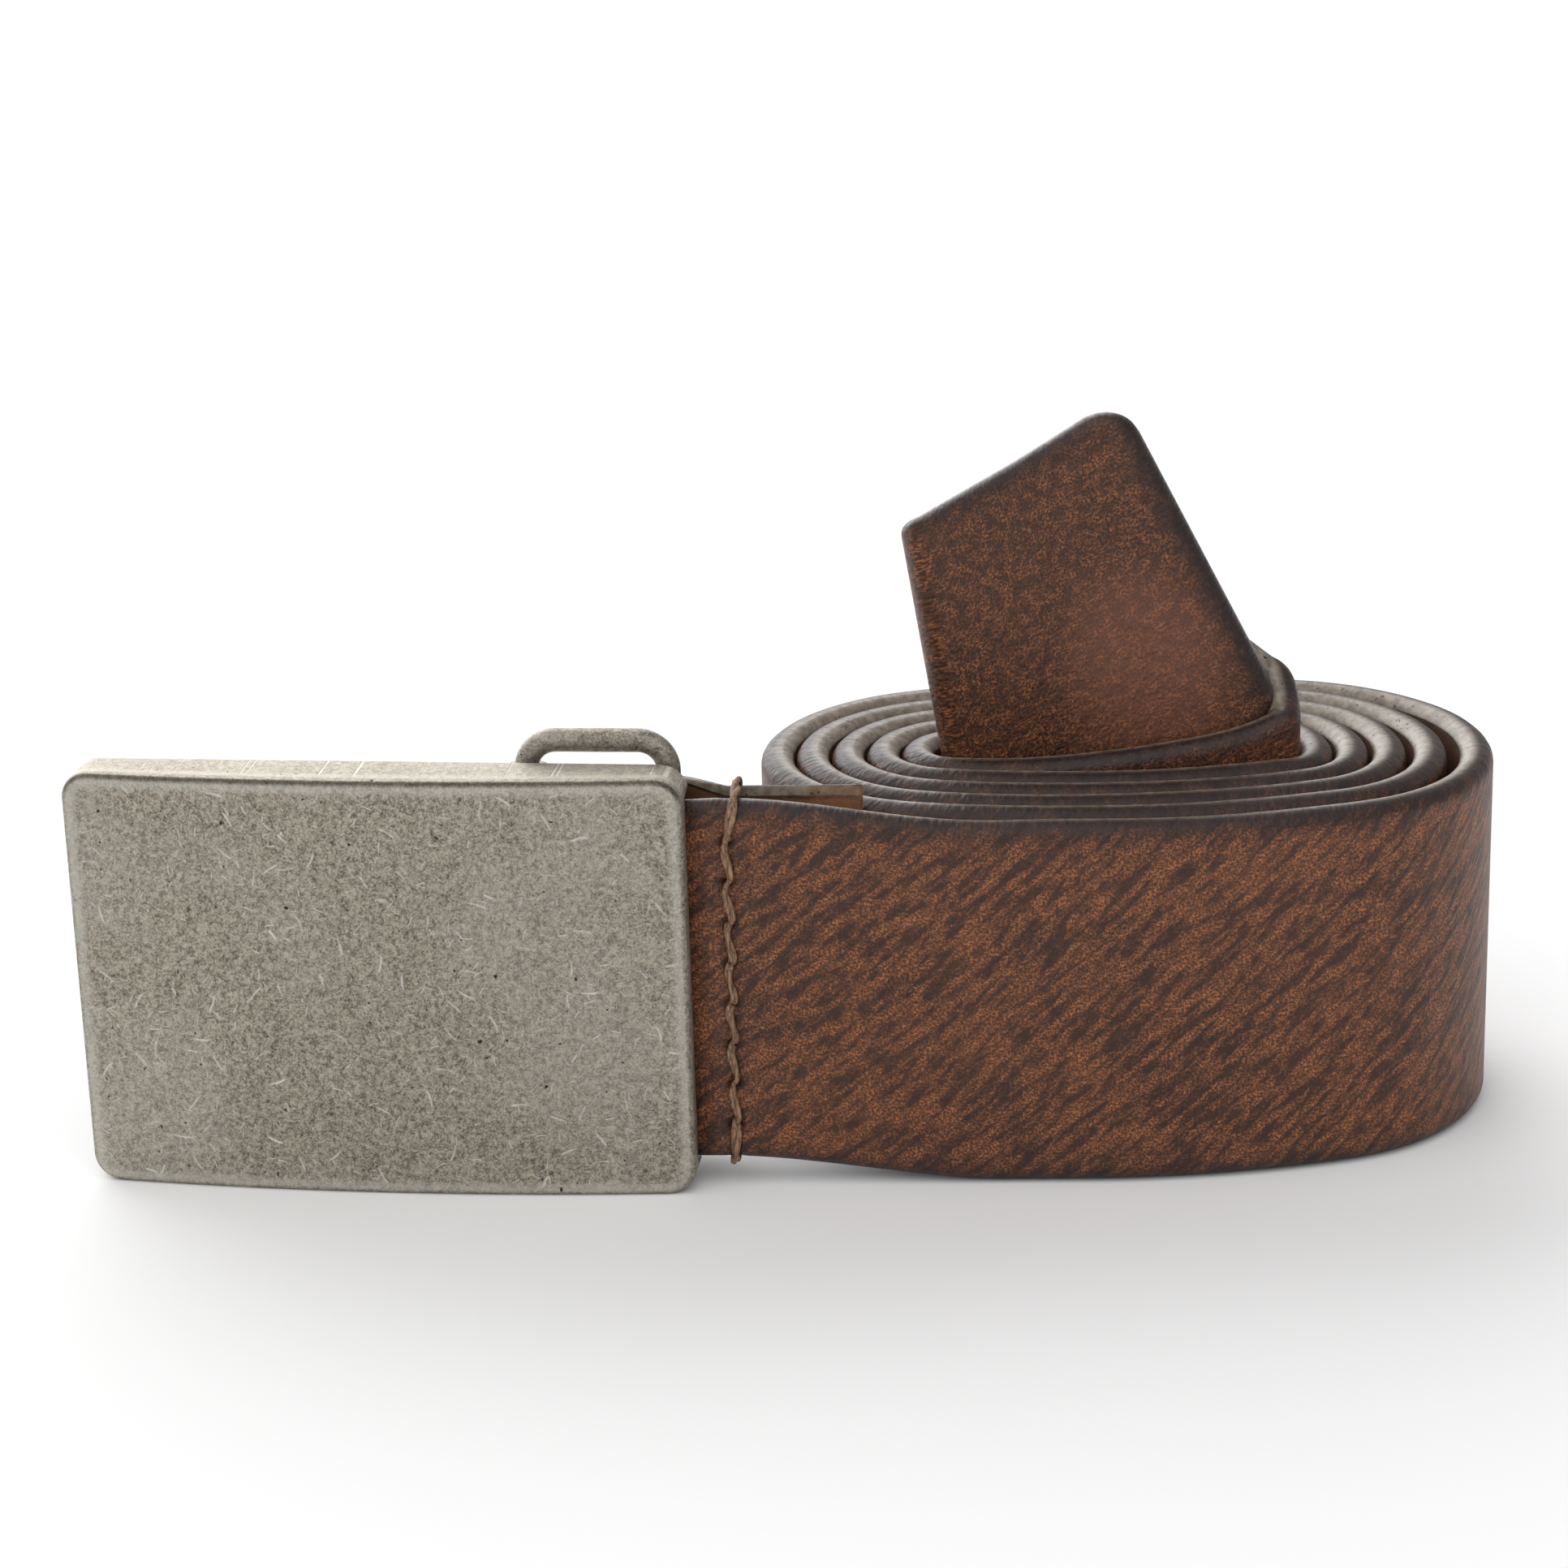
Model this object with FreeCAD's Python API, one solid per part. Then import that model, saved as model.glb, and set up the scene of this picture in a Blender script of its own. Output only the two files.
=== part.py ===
import FreeCAD, Part
import math
import os

os.makedirs("parts", exist_ok=True)
V = FreeCAD.Vector
UP = V(0, 0, 1)

# ---- driving dimensions, mm; the belt stands on z = 0, +X runs from buckle to coil ----
strap_w = 40.0           # strap width, standing upright
strap_t = 3.6            # full leather thickness
skived_t = 1.3           # leather thinned round the loop bar
pitch = 3.85             # one wound turn to the next
turns = 5                # flat turns before the end starts to rise
coil_x = 35.9            # middle of the coil
coil_front_y = -27.5     # front face of the outer turn
end_r = 25.5             # outer turn: radius of the two round ends
flat_extra = 61.0        # front and back arcs are this much larger in radius
blend = 1.3              # rad, half angle each round end covers
lift = 2.9               # strap edge above the floor where it meets the buckle
ramp_end_x = 18.0        # from here on the strap edge rests on the floor
run_leave_x = 31.0       # here the straight run joins the outer turn

bar_d = 2.5              # wire of the loop
bar_x, bar_y = -12.3, -19.5
seam_x = -6.5
tail_end_x = 7.4
fold_r = 3.3             # inside radius of the fold round the bar
loop_z0, loop_z1 = 0.1, 49.3
loop_corner_r = 3.2      # centreline radius of the wire corners

plate_w, plate_h = 65.6, 46.2
plate_yaw = 7.6          # deg, right end of the plate nearer the front
plate_sag = 1.8          # bulge of the front face
plate_rear = 5.4         # rear edge of the flanges behind the end of the front face
panel_t = 2.4
flange_t = 2.4
plate_corner_r = 3.0
plate_right_x, plate_right_y = -10.9, -27.3
lug_t, lug_r = 5.0, 2.5
hinge_gap = 0.06
peg_r, peg_u = 2.0, 57.6  # peg radius, distance from the right end of the plate
peg_len = 4.6
shank_r = 1.5

hole_r = 2.5
hole_step = 25.0
hole_count = 5
first_hole = 118.0       # from the tip to the nearest peg hole


def unit(angle):
    return V(math.cos(angle), math.sin(angle), 0)


def coil_arcs():
    """Four arcs a turn, every radius a quarter pitch less than the one before."""
    arcs = []
    r = end_r + flat_extra - strap_t / 2
    c = V(coil_x, coil_front_y + strap_t / 2 + r, 0)
    a = -math.pi / 2
    ends = (-blend, blend, math.pi - blend, math.pi + blend)
    for k in range(4 * turns + 1):
        b = ends[k % 4] + 2 * math.pi * (k // 4)
        if k == 4 * turns:
            b = -math.pi / 2 + 2 * math.pi * turns
        arcs.append((c, r, a, b))
        base = end_r - strap_t / 2 - (k + 1) * pitch / 4
        nxt = base + (flat_extra if k % 2 else 0.0)
        c = c + unit(b) * (r - nxt)
        r, a = nxt, b
    return arcs


def arc_edge(c, r, a, b):
    return Part.Arc(c + unit(a) * r, c + unit((a + b) / 2) * r, c + unit(b) * r).toShape()


def upright(edges, z0, z1):
    """Closed plan outline pulled up from z0 to z1."""
    wire = Part.Wire(Part.__sortEdges__(edges))
    face = Part.Face(wire)
    face.translate(V(0, 0, z0))
    return face.extrude(V(0, 0, z1 - z0))


def line(p, q):
    return Part.makeLine(p, q)


def polygon(points):
    return [line(points[i], points[(i + 1) % len(points)]) for i in range(len(points))]


arcs = coil_arcs()
half = strap_t / 2


def coil_body():
    edges = []
    for c, r, a, b in arcs:
        edges += [arc_edge(c, r + half, a, b), arc_edge(c, r - half, a, b)]
    for c, r, a in ((arcs[0][0], arcs[0][1], arcs[0][2]), (arcs[-1][0], arcs[-1][1], arcs[-1][3])):
        edges.append(line(c + unit(a) * (r + half), c + unit(a) * (r - half)))
    return upright(edges, 0, strap_w)


# ---- straight run from the buckle fold to the coil, easing down to the floor ----
def run_front(x):
    """Front face of the run: on the outer arc, then straight along its tangent."""
    r = end_r + flat_extra
    cy = coil_front_y + r
    leave = run_leave_x
    if x > leave:
        return cy - math.sqrt(r * r - (x - coil_x) ** 2)
    drop = math.sqrt(r * r - (leave - coil_x) ** 2)
    slope = (leave - coil_x) / drop
    return cy - drop + slope * (x - leave)


def section(m, along, wide, t=strap_t, w=strap_w):
    """Rectangle of leather across the strap at m."""
    n = along.cross(wide)
    n.normalize()
    a, b = wide * (w / 2), n * (t / 2)
    return Part.makePolygon([m - a - b, m + a - b, m + a + b, m - a + b, m - a - b])


run_slope = (run_front(0) - run_front(-10)) / 10
run_dir = V(1, run_slope, 0)
run_dir.normalize()
run_n = V(-run_dir.y, run_dir.x, 0)   # towards the back


def run_point(x, depth, z=0.0):
    """Point at depth behind the front face of the straight run."""
    return V(x, run_front(x), z) + run_n * depth


def ramp(x):
    return lift * min(1.0, max(0.0, (ramp_end_x - x) / (ramp_end_x - seam_x)))


def run_body():
    wires = []
    for x in (seam_x, ramp_end_x, run_leave_x):
        wires.append(section(run_point(x, half, strap_w / 2 + ramp(x)), run_dir, UP))
    ramped = Part.makeLoft(wires, True, True)
    c, r, a0, _ = arcs[0]
    a1 = -math.pi / 2 - math.asin((coil_x - run_leave_x) / (end_r + flat_extra))
    ends = [line(c + unit(a) * (r + half), c + unit(a) * (r - half)) for a in (a0, a1)]
    flat = upright([arc_edge(c, r + half, a1, a0), arc_edge(c, r - half, a1, a0)] + ends, 0, strap_w)
    return ramped, flat


# ---- fold round the loop bar and the tail sewn behind ----
def fold_body():
    bar = V(bar_x, bar_y, 0)
    f0, f1 = bar - run_n * (fold_r + skived_t), bar - run_n * fold_r
    b0, b1 = bar + run_n * fold_r, bar + run_n * (fold_r + skived_t)
    left0, left1 = bar - run_dir * (fold_r + skived_t), bar - run_dir * fold_r
    s_front, s_mid = run_point(seam_x, 0), run_point(seam_x, strap_t)
    s_back = run_point(seam_x, 2 * strap_t)
    near = run_point(seam_x - 2.0, strap_t)
    tail_front, tail_back = run_point(tail_end_x, strap_t), run_point(tail_end_x, 2 * strap_t)
    edges = [
        line(s_front, f0),
        Part.Arc(f0, left0, b1).toShape(),
        line(b1, s_back),
        line(s_back, tail_back),
        line(tail_back, tail_front),
        line(tail_front, s_mid),
        line(s_mid, s_front),
    ]
    solid = upright(edges, lift, lift + strap_w)
    hollow = [line(near, f1), Part.Arc(f1, left1, b0).toShape(), line(b0, near)]
    return solid.cut(upright(hollow, lift - 1, lift + strap_w + 1))


# ---- the inner end: climbs out of the coil along its last turn ----
climb_angle = math.radians(30.5)
first_climb = math.radians(6.5)     # along the front of the last turn
left_bend_x, left_bend_r = 19.3, 1.95
tip_x = 46.0              # middle of the tip edge
bend_lean = math.radians(9)   # the left bend leans outward
tip_lean = math.radians(27)   # lean of the tip edge
tip_corner_r = 3.5


def last_turn_legs():
    """(length, radius, heading at its start) for each leg; radius 0 is straight."""
    c, r, _, a = arcs[-1]
    legs = []
    base = r - flat_extra
    for radius, end in (
        (r, math.pi * 2 - blend),
        (base - pitch / 4, math.pi * 2 + blend),
        (r - pitch / 2, None),
        (left_bend_r, math.pi * 3.5),
    ):
        a0 = a % (2 * math.pi) if not legs else a
        if legs:
            c = c + unit(a0) * (r - radius)
        r = radius
        if end is None:
            end = 2 * math.pi + math.acos((left_bend_x - c.x) / r)
        legs.append((r * (end - a0), r, a0 + math.pi / 2))
        a = end
    start = c + unit(a) * r
    legs.append((tip_x - start.x + 1.0, 0.0, a + math.pi / 2))
    return legs, start


LEGS, tip_leg_start = last_turn_legs()
LEG_ENDS = [sum(leg[0] for leg in LEGS[: i + 1]) for i in range(5)]
inner_end = arcs[-1][0] + unit(arcs[-1][3]) * arcs[-1][1]
tip_s = LEG_ENDS[3] + tip_x - tip_leg_start.x


def last_turn(s):
    """Plan position and heading, s mm along the last turn from its front middle."""
    p, heading = V(inner_end), LEGS[0][2]
    for length, radius, _ in LEGS:
        step = min(s, length)
        if radius:
            centre = p + unit(heading + math.pi / 2) * radius
            heading += step / radius
            p = centre + unit(heading - math.pi / 2) * radius
        else:
            p = p + unit(heading) * step
        s -= step
        if s <= 0:
            break
    return p, heading


def eased(s, a, b):
    u = min(1.0, max(0.0, (s - a) / (b - a)))
    return u * u * (3 - 2 * u)


def climb(s):
    """Angle of the strap to the level; round the left bend it keeps its angle to the leaning axis."""
    if s >= LEG_ENDS[3]:
        return climb_angle
    reach = math.sin(climb_angle - bend_lean)
    if s >= LEG_ENDS[2]:
        h = last_turn(s)[1]
        a, b = math.cos(bend_lean), -math.sin(bend_lean) * math.cos(h)
        return math.asin(reach / math.hypot(a, b)) - math.atan2(b, a)
    rise = first_climb * eased(s, 0, 8) + (climb_angle - first_climb) * eased(s, 8, 30)
    return rise - 2 * bend_lean * eased(s, 45, LEG_ENDS[2])


def mid_height(s, steps=240):
    ds = s / steps
    return strap_w / 2 + sum(math.tan(climb((i + 0.5) * ds)) * ds for i in range(steps))


def lean(s):
    """Lean of the leather's straight line across the width: none before the back."""
    return bend_lean * eased(s, LEG_ENDS[1] + 4, LEG_ENDS[2])


def across(s):
    """Ends of the line across the width at s, and the leather's normal there."""
    p, heading = last_turn(s)
    t, q = climb(s), lean(s)
    along = unit(heading) * math.cos(t) + UP * math.sin(t)
    line_dir = V(-math.sin(q), 0, math.cos(q))
    normal = along.cross(line_dir)
    normal.normalize()
    wide = normal.cross(along)
    reach = strap_w / 2 / wide.dot(line_dir)
    m = p + UP * mid_height(s)
    return m - line_dir * reach, m + line_dir * reach, normal


def rising_section(s):
    bottom, top, normal = across(s)
    n = normal * half
    return Part.makePolygon([bottom - n, top - n, top + n, bottom + n, bottom - n])


def tip_panel(s_from):
    """Flat end of the strap from s_from on, its two corners rounded."""
    bottom, top, out = across(s_from)
    along = V(math.cos(climb_angle), 0, math.sin(climb_angle))
    edge = V(-math.sin(tip_lean), 0, math.cos(tip_lean))
    m = last_turn(tip_s)[0] + UP * mid_height(tip_s)
    reach = strap_w / 2 / math.cos(climb_angle - tip_lean)
    r = tip_corner_r
    edges, tips = [line(bottom, top)], []
    for side, start in ((-1, bottom), (1, top)):
        corner = m + edge * (side * reach)
        p0, p1 = corner - along * r, corner - edge * (side * r)
        centre = p0 - edge * (side * r)
        mid = centre + (corner - centre) * (1 / math.sqrt(2))
        edges += [line(start, p0), Part.Arc(p0, mid, p1).toShape()]
        tips.append(p1)
    edges.append(line(tips[0], tips[1]))
    face = Part.Face(Part.Wire(Part.__sortEdges__(edges)))
    face.translate(out * -half)
    return face.extrude(out * strap_t)


def spread(a, b, n):
    return [a + (b - a) * i / n for i in range(1, n + 1)]


def rising_body():
    stops = [0.0] + spread(0, LEG_ENDS[0], 3)
    for i, n in ((1, 8), (2, 6), (3, 8)):
        stops += spread(LEG_ENDS[i - 1], LEG_ENDS[i], n)
    body = Part.makeLoft([rising_section(s) for s in stops], True, True)
    return body, tip_panel(LEG_ENDS[3])


def peg_holes():
    """Row of round holes across the strap, counted back from the tip."""
    holes = []
    for k in range(hole_count):
        back = first_hole + hole_step * k - tip_s
        for c, r, a, b in reversed(arcs):
            length = r * (b - a)
            if back <= length:
                angle = b - back / r
                p = c + unit(angle) * (r - 2 * half) + UP * (strap_w / 2)
                holes.append(Part.makeCylinder(hole_r, 4 * half, p, unit(angle)))
                break
            back -= length
    return holes


# ---- one vertical seam through both layers ----
stitch_n, stitch_pitch, thread_d = 8, 4.5, 1.0
stitch_z = lift + strap_w / 2 - (stitch_n - 1) * stitch_pitch / 2


def seam_tools():
    """Thread as laid: posts through both layers, strands between them on each face."""
    h = thread_d / 2
    d_front, d_back = -0.2, 2 * strap_t + 0.2
    side = run_dir * h

    def bar_between(d0, d1, z0, z1):
        a, b = run_point(seam_x, d0, 0) - side, run_point(seam_x, d1, 0) - side
        c, d = run_point(seam_x, d1, 0) + side, run_point(seam_x, d0, 0) + side
        return upright(polygon([a, b, c, d]), z0, z1)

    outer = bar_between(d_front - h, d_back + h, lift - 2 * h, lift + strap_w + 2 * h)
    inner = bar_between(d_front + h, d_back - h, lift, lift + strap_w)
    thread = outer.cut(inner)
    for i in range(stitch_n):
        z = stitch_z + i * stitch_pitch
        thread = thread.fuse(bar_between(d_front, d_back, z - h, z + h))
    return thread.removeSplitter()


# ---- plaque: curved panel with a rim above and below, lugs and a peg boss behind ----
def plate_point(u, depth, z=0.0):
    """Point u mm left of the right end, depth behind it, in the shared frame."""
    a = math.radians(plate_yaw)
    x = plate_right_x - u * math.cos(a) + depth * math.sin(a)
    y = plate_right_y + u * math.sin(a) + depth * math.cos(a)
    return V(x, y, z)


hinge_u = 17.4
hinge_depth = plate_rear + 0.6 + bar_d / 2
hinge = plate_point(hinge_u, hinge_depth)


def panel_depth(u):
    """Depth of the front face at u."""
    r = (plate_w ** 2 / 4 + plate_sag ** 2) / (2 * plate_sag)
    return r - plate_sag - math.sqrt(r * r - (u - plate_w / 2) ** 2)


def plate_slab(front, rear, z0, z1):
    """Upright slab between two depths; a depth of None follows the curved front."""
    ends = []
    edges = []
    for offset, curved in (front, rear):
        a, b = plate_point(0, offset), plate_point(plate_w, offset)
        if curved:
            mid = plate_point(plate_w / 2, offset - plate_sag)
            edges.append(Part.Arc(a, mid, b).toShape())
        else:
            edges.append(line(a, b))
        ends.append((a, b))
    edges += [line(ends[0][0], ends[1][0]), line(ends[0][1], ends[1][1])]
    return upright(edges, z0, z1)


def upright_disc(u, depth, r, z0, z1):
    return Part.makeCylinder(r, z1 - z0, plate_point(u, depth, z0))


def plate_body():
    body = plate_slab((0.0, True), (panel_t, True), 0, plate_h)
    for z0, z1 in ((0, flange_t), (plate_h - flange_t, plate_h)):
        body = body.fuse(plate_slab((0.5, True), (plate_rear, False), z0, z1))
    inner = panel_depth(hinge_u) + panel_t - 0.6
    for z0 in (loop_z0 + bar_d + 1.6, loop_z1 - bar_d - 1.6 - lug_t):
        lug = upright_disc(hinge_u, hinge_depth, lug_r, z0, z0 + lug_t)
        a, b = plate_point(hinge_u - lug_r, inner), plate_point(hinge_u + lug_r, inner)
        c, d = plate_point(hinge_u + lug_r, hinge_depth), plate_point(hinge_u - lug_r, hinge_depth)
        body = body.fuse(lug).fuse(upright(polygon([a, b, c, d]), z0, z0 + lug_t))
    back = plate_point(0, 1) - plate_point(0, 0)
    boss_at = plate_point(peg_u, panel_depth(peg_u) + panel_t - 0.8, plate_h / 2)
    body = body.fuse(Part.makeCylinder(3.6, 1.8, boss_at, back))
    body = body.cut(Part.makeCylinder(bar_d / 2 + hinge_gap, plate_h, hinge))
    body = body.cut(Part.makeCylinder(shank_r, 30, boss_at - back * 0.6, back))
    side = plate_point(1, 0) - plate_point(0, 0)
    r = plate_corner_r
    for u, du in ((0, 1), (plate_w, -1)):
        for z, dz in ((0, 1), (plate_h, -1)):
            p = plate_point(u, -4, z)
            q = p + side * (r * du) + UP * (r * dz)
            corner = Part.Face(Part.makePolygon([p, p + side * (r * du), q, p + UP * (r * dz), p]))
            block = corner.extrude(back * 14)
            body = body.cut(block.cut(Part.makeCylinder(r, 14, q, back)))
    return body.removeSplitter()


def peg_body():
    """Thin shank pressed into the boss, full-size peg from the boss on, end rounded."""
    back = plate_point(0, 1) - plate_point(0, 0)
    seat = plate_point(peg_u, panel_depth(peg_u) + panel_t + 1.0, plate_h / 2)
    pin = Part.makeCylinder(peg_r, peg_len, seat, back)
    end = [e for e in pin.Edges if (e.CenterOfMass - (seat + back * peg_len)).Length < 0.01]
    pin = pin.makeFillet(1.2, end[:1])
    return pin.fuse(Part.makeCylinder(shank_r, 2.4, seat - back * 2.4, back))


# ---- loop: one closed rectangle of wire, through the fold and the lugs ----
def loop_body():
    bar = V(bar_x, bar_y, 0)
    side = bar - hinge
    side.normalize()
    r, h = loop_corner_r, bar_d / 2
    z0, z1 = loop_z0 + h, loop_z1 - h
    corners = []
    for foot, dx in ((hinge, 1), (bar, -1)):
        for z, dz in ((z0, 1), (z1, -1)):
            corners.append((foot, dx, z, dz))

    def at(foot, dx, du, z):
        return foot + side * (dx * du) + UP * z

    k = r * (1 - math.sqrt(0.5))
    edges = []
    for foot, dx, z, dz in corners:
        p, q = at(foot, dx, 0, z + dz * r), at(foot, dx, r, z)
        edges.append(Part.Arc(p, at(foot, dx, k, z + dz * k), q).toShape())
    for foot, dx in ((hinge, 1), (bar, -1)):
        edges.append(line(at(foot, dx, 0, z0 + r), at(foot, dx, 0, z1 - r)))
    for z in (z0, z1):
        edges.append(line(at(hinge, 1, r, z), at(bar, -1, r, z)))
    path = Part.Wire(Part.__sortEdges__(edges))
    start = path.OrderedVertexes[0].Point
    first = path.OrderedEdges[0]
    tangent = first.tangentAt(first.FirstParameter)
    profile = Part.Wire(Part.makeCircle(h, start, tangent))
    return path.makePipeShell([profile], True, True)


thread = seam_tools()
ramped, flat = run_body()
climbing, tip = rising_body()
strap = coil_body().fuse(flat).fuse(ramped).fuse(fold_body()).fuse(climbing).fuse(tip)
strap = strap.removeSplitter()
for hole in peg_holes():
    strap = strap.cut(hole)
nodes = {
    "strap": strap.cut(thread),
    "seam_thread": thread,
    "buckle_plate": plate_body(),
    "hook_peg": peg_body(),
    "wire_loop": loop_body(),
}

# the shared frame has its origin under the middle of the belt
box = FreeCAD.BoundBox()
for shape in nodes.values():
    box.add(shape.BoundBox)
shift = V(-(box.XMin + box.XMax) / 2, -(box.YMin + box.YMax) / 2, 0)
for name, shape in nodes.items():
    solid = shape.Solids[0]
    solid.translate(shift)
    solid.exportStep("parts/" + name + ".step")
    print(name, len(shape.Solids), solid.isValid(), round(solid.Volume, 1), solid.BoundBox)
print("bar", V(bar_x, bar_y, 0) + shift)
print("hinge", hinge + shift)
print("peg middle", plate_point(peg_u, panel_depth(peg_u) + panel_t + 1.0 + 1.7, plate_h / 2) + shift)
print("peg axis", plate_point(0, 1) - plate_point(0, 0), "shift", shift)
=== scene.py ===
import math

import bmesh
import bpy
import numpy as np
from mathutils import Matrix, Vector, noise

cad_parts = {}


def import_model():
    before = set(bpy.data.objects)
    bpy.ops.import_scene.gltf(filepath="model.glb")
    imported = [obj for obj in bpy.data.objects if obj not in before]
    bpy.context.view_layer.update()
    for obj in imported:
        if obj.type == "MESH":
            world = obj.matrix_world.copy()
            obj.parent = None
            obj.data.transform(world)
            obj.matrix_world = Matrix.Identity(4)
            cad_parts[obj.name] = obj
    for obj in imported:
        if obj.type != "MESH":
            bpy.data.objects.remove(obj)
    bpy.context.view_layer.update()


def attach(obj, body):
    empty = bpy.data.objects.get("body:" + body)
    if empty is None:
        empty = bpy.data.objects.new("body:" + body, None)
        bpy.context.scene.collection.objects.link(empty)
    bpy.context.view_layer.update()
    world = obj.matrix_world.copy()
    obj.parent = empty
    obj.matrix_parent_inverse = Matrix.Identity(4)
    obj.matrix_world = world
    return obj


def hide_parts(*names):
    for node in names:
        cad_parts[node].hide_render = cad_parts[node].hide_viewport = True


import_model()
MM = 0.001

# ---- sizes shared with the CAD part, mm ----
SHIFT = np.array([-0.5235, 0.7957])     # puts the middle of the plan on the origin
STRAP_W, STRAP_T, SKIVED_T, PITCH, TURNS = 40.0, 3.6, 1.3, 3.85, 5
COIL = np.array([35.9, -27.5]) + SHIFT
END_R, FLAT_EXTRA, BLEND = 25.5, 61.0, 1.3
STITCHES, STITCH_PITCH = 8, 4.5
LIFT, RAMP_END, RUN_LEAVE = 2.9, 18.0 + SHIFT[0], 31.0 + SHIFT[0]
BAR = np.array([-12.3, -19.5]) + SHIFT
BAR_R, FOLD_R = 1.25, 3.3
SEAM_X, TAIL_END = -6.5 + SHIFT[0], 7.4 + SHIFT[0]
LEFT_BEND_X, LEFT_BEND_R = 19.3 + SHIFT[0], 1.95
TIP_X, TIP_CORNER = 45.4 + SHIFT[0], 4.4
CLIMB, FIRST_CLIMB = math.radians(30.5), math.radians(6.5)
BEND_LEAN, TIP_LEAN = math.radians(9), math.radians(27)
PLATE_W, PLATE_H, PLATE_SAG, PLATE_REAR = 65.6, 46.2, 1.8, 5.4
PANEL_T, PLATE_CORNER = 2.4, 3.0
PLATE_YAW = math.radians(7.6)
PLATE_AT = np.array([-10.9, -27.3]) + SHIFT
HINGE_U, HINGE_DEPTH = 17.4, PLATE_REAR + 0.6 + BAR_R
LOOP_Z0, LOOP_Z1, LOOP_CORNER = 0.1, 49.3, 3.2
PEG_U, PEG_R, PEG_LEN = 57.6, 2.0, 4.6
LUG_R, LUG_H, LUG_GAP = 2.5, 5.0, 1.6

# ---- how the strap lies, mm past the start of its climb ----
FIRST_RISE, MAIN_RISE, EASED_FROM = (-20, 1), (8, 30), 45
LEAN_FROM = 31
BEND_SWEEP = 2.87                       # angle that the strap turns round the left bend
BOW = 4.8                               # four times the sag of the end to the front
LOOSE_RIGHT = (0.0, 1.3, 1.9, 2.1, 2.2, 1.9, 1.9)   # how far each turn hangs back at the right
LOOSE_FRONT = 0.45                      # gap behind the outer turn in front

# ---- finer shape of the leather, mm ----
EDGE_R = 1.5                            # depth of the burnished rounding along an edge
EDGE_FROM, EDGE_TO = 1.0, 2.1           # where round the edge its own colour takes over
PARED = 1.8                             # leather taken off the flesh side of the sewn-back tail
RAGGED = (4.2, 7.0)                     # the raw end's loose fibres fade out here
TIP_THIN = 1.3                          # the tip's edge is rounded over this length
SEAM_HALF, FINE_HALF = 0.6, 2.4         # half widths of the seam and of the fine stations round it
GROOVE, GROOVE_W = 0.16, 0.9            # the seam's groove in the grain face
HOLE, HOLE_W, HOLE_H = 0.5, 0.95, 0.5   # what each stitch hole draws in
FACE_N, BACK_N, EDGE_N = 80, 24, 9      # faces across the grain side, the flesh side and an edge

# ---- thread, mm ----
THREAD_R, THREAD_OFF, THREAD_TWIST = 0.38, 0.27, 9.0
STITCH_SIZE, WRAP_SIZE = 0.70, 0.88

# ---- camera and light, mm and radians ----
CAMERA_AT, CAMERA_PITCH, CAMERA_ROLL, CAMERA_LENS = (-0.9, -395.7, 168.3), math.radians(18.4), 0.03, 87.6
GLOW_FROM = (-0.42, 0.80, 0.43)
GLOW_EDGE, GLOW_CORE, AROUND, GLOW = 0.70, 0.98, 0.47, 3.4
KEY_FROM, KEY_STRENGTH, KEY_SPREAD = (-0.14, -0.48, 0.75), 1.25, 80
FLOOR_TONE, FLOOR_HALF = 0.915, 3.0     # the floor's half width is in metres


def unit(a):
    return np.array([math.cos(a), math.sin(a)])


def smooth(x, a, b):
    t = np.clip((x - a) / (b - a), 0.0, 1.0)
    return t * t * (3 - 2 * t)


# ---- camera: a little above the belt, long lens ----
def look(position, pitch, roll, lens):
    forward = Vector((0, math.cos(pitch), -math.sin(pitch)))
    up0 = Vector((0, math.sin(pitch), math.cos(pitch)))
    right0 = Vector((1, 0, 0))
    right = right0 * math.cos(roll) - up0 * math.sin(roll)
    up = right0 * math.sin(roll) + up0 * math.cos(roll)
    data = bpy.data.cameras.new("camera")
    data.sensor_width, data.lens = 36.0, lens
    data.clip_start, data.clip_end = 0.01, 20
    cam = bpy.data.objects.new("camera", data)
    m = Matrix((right, up, -forward)).transposed().to_4x4()
    m.translation = Vector(position) * MM
    cam.matrix_world = m
    bpy.context.scene.collection.objects.link(cam)
    bpy.context.scene.camera = cam


look(CAMERA_AT, CAMERA_PITCH, CAMERA_ROLL, CAMERA_LENS)


# ---- plan path of the strap's centreline ----
def front_line(x):
    """Front face of the straight run, in y, at x."""
    r = END_R + FLAT_EXTRA
    cy = COIL[1] + r
    drop = math.sqrt(r * r - (RUN_LEAVE - COIL[0]) ** 2)
    return cy - drop + (RUN_LEAVE - COIL[0]) / drop * (x - RUN_LEAVE)


RUN_SLOPE = math.atan(front_line(1) - front_line(0))
RUN_N = unit(RUN_SLOPE + math.pi / 2)


def run_point(x, depth):
    return np.array([x, front_line(x)]) + RUN_N * depth


def arc_points(c, r, a, b, step=0.9):
    n = max(3, int(abs(b - a) * r / step), int(abs(b - a) / 0.13))
    return [c + unit(a + (b - a) * i / n) * r for i in range(n + 1)]


def line_points(p, q, step=1.0):
    n = max(2, int(np.linalg.norm(q - p) / step))
    return [p + (q - p) * i / n for i in range(n + 1)]


def loosened(points, angles):
    """The turns don't lie tight everywhere: a gap opens at the right and a little in front."""
    out = []
    for p, a in zip(points, angles):
        turn = (a + math.pi) / (2 * math.pi) - 0.25
        right = np.interp(turn, range(7), LOOSE_RIGHT) * max(0.0, math.cos(a)) ** 1.6
        front = LOOSE_FRONT * smooth(turn, 0.35, 0.75) * max(0.0, -math.sin(a)) ** 4
        out.append(p + np.array([-right, front]))
    return out


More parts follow.
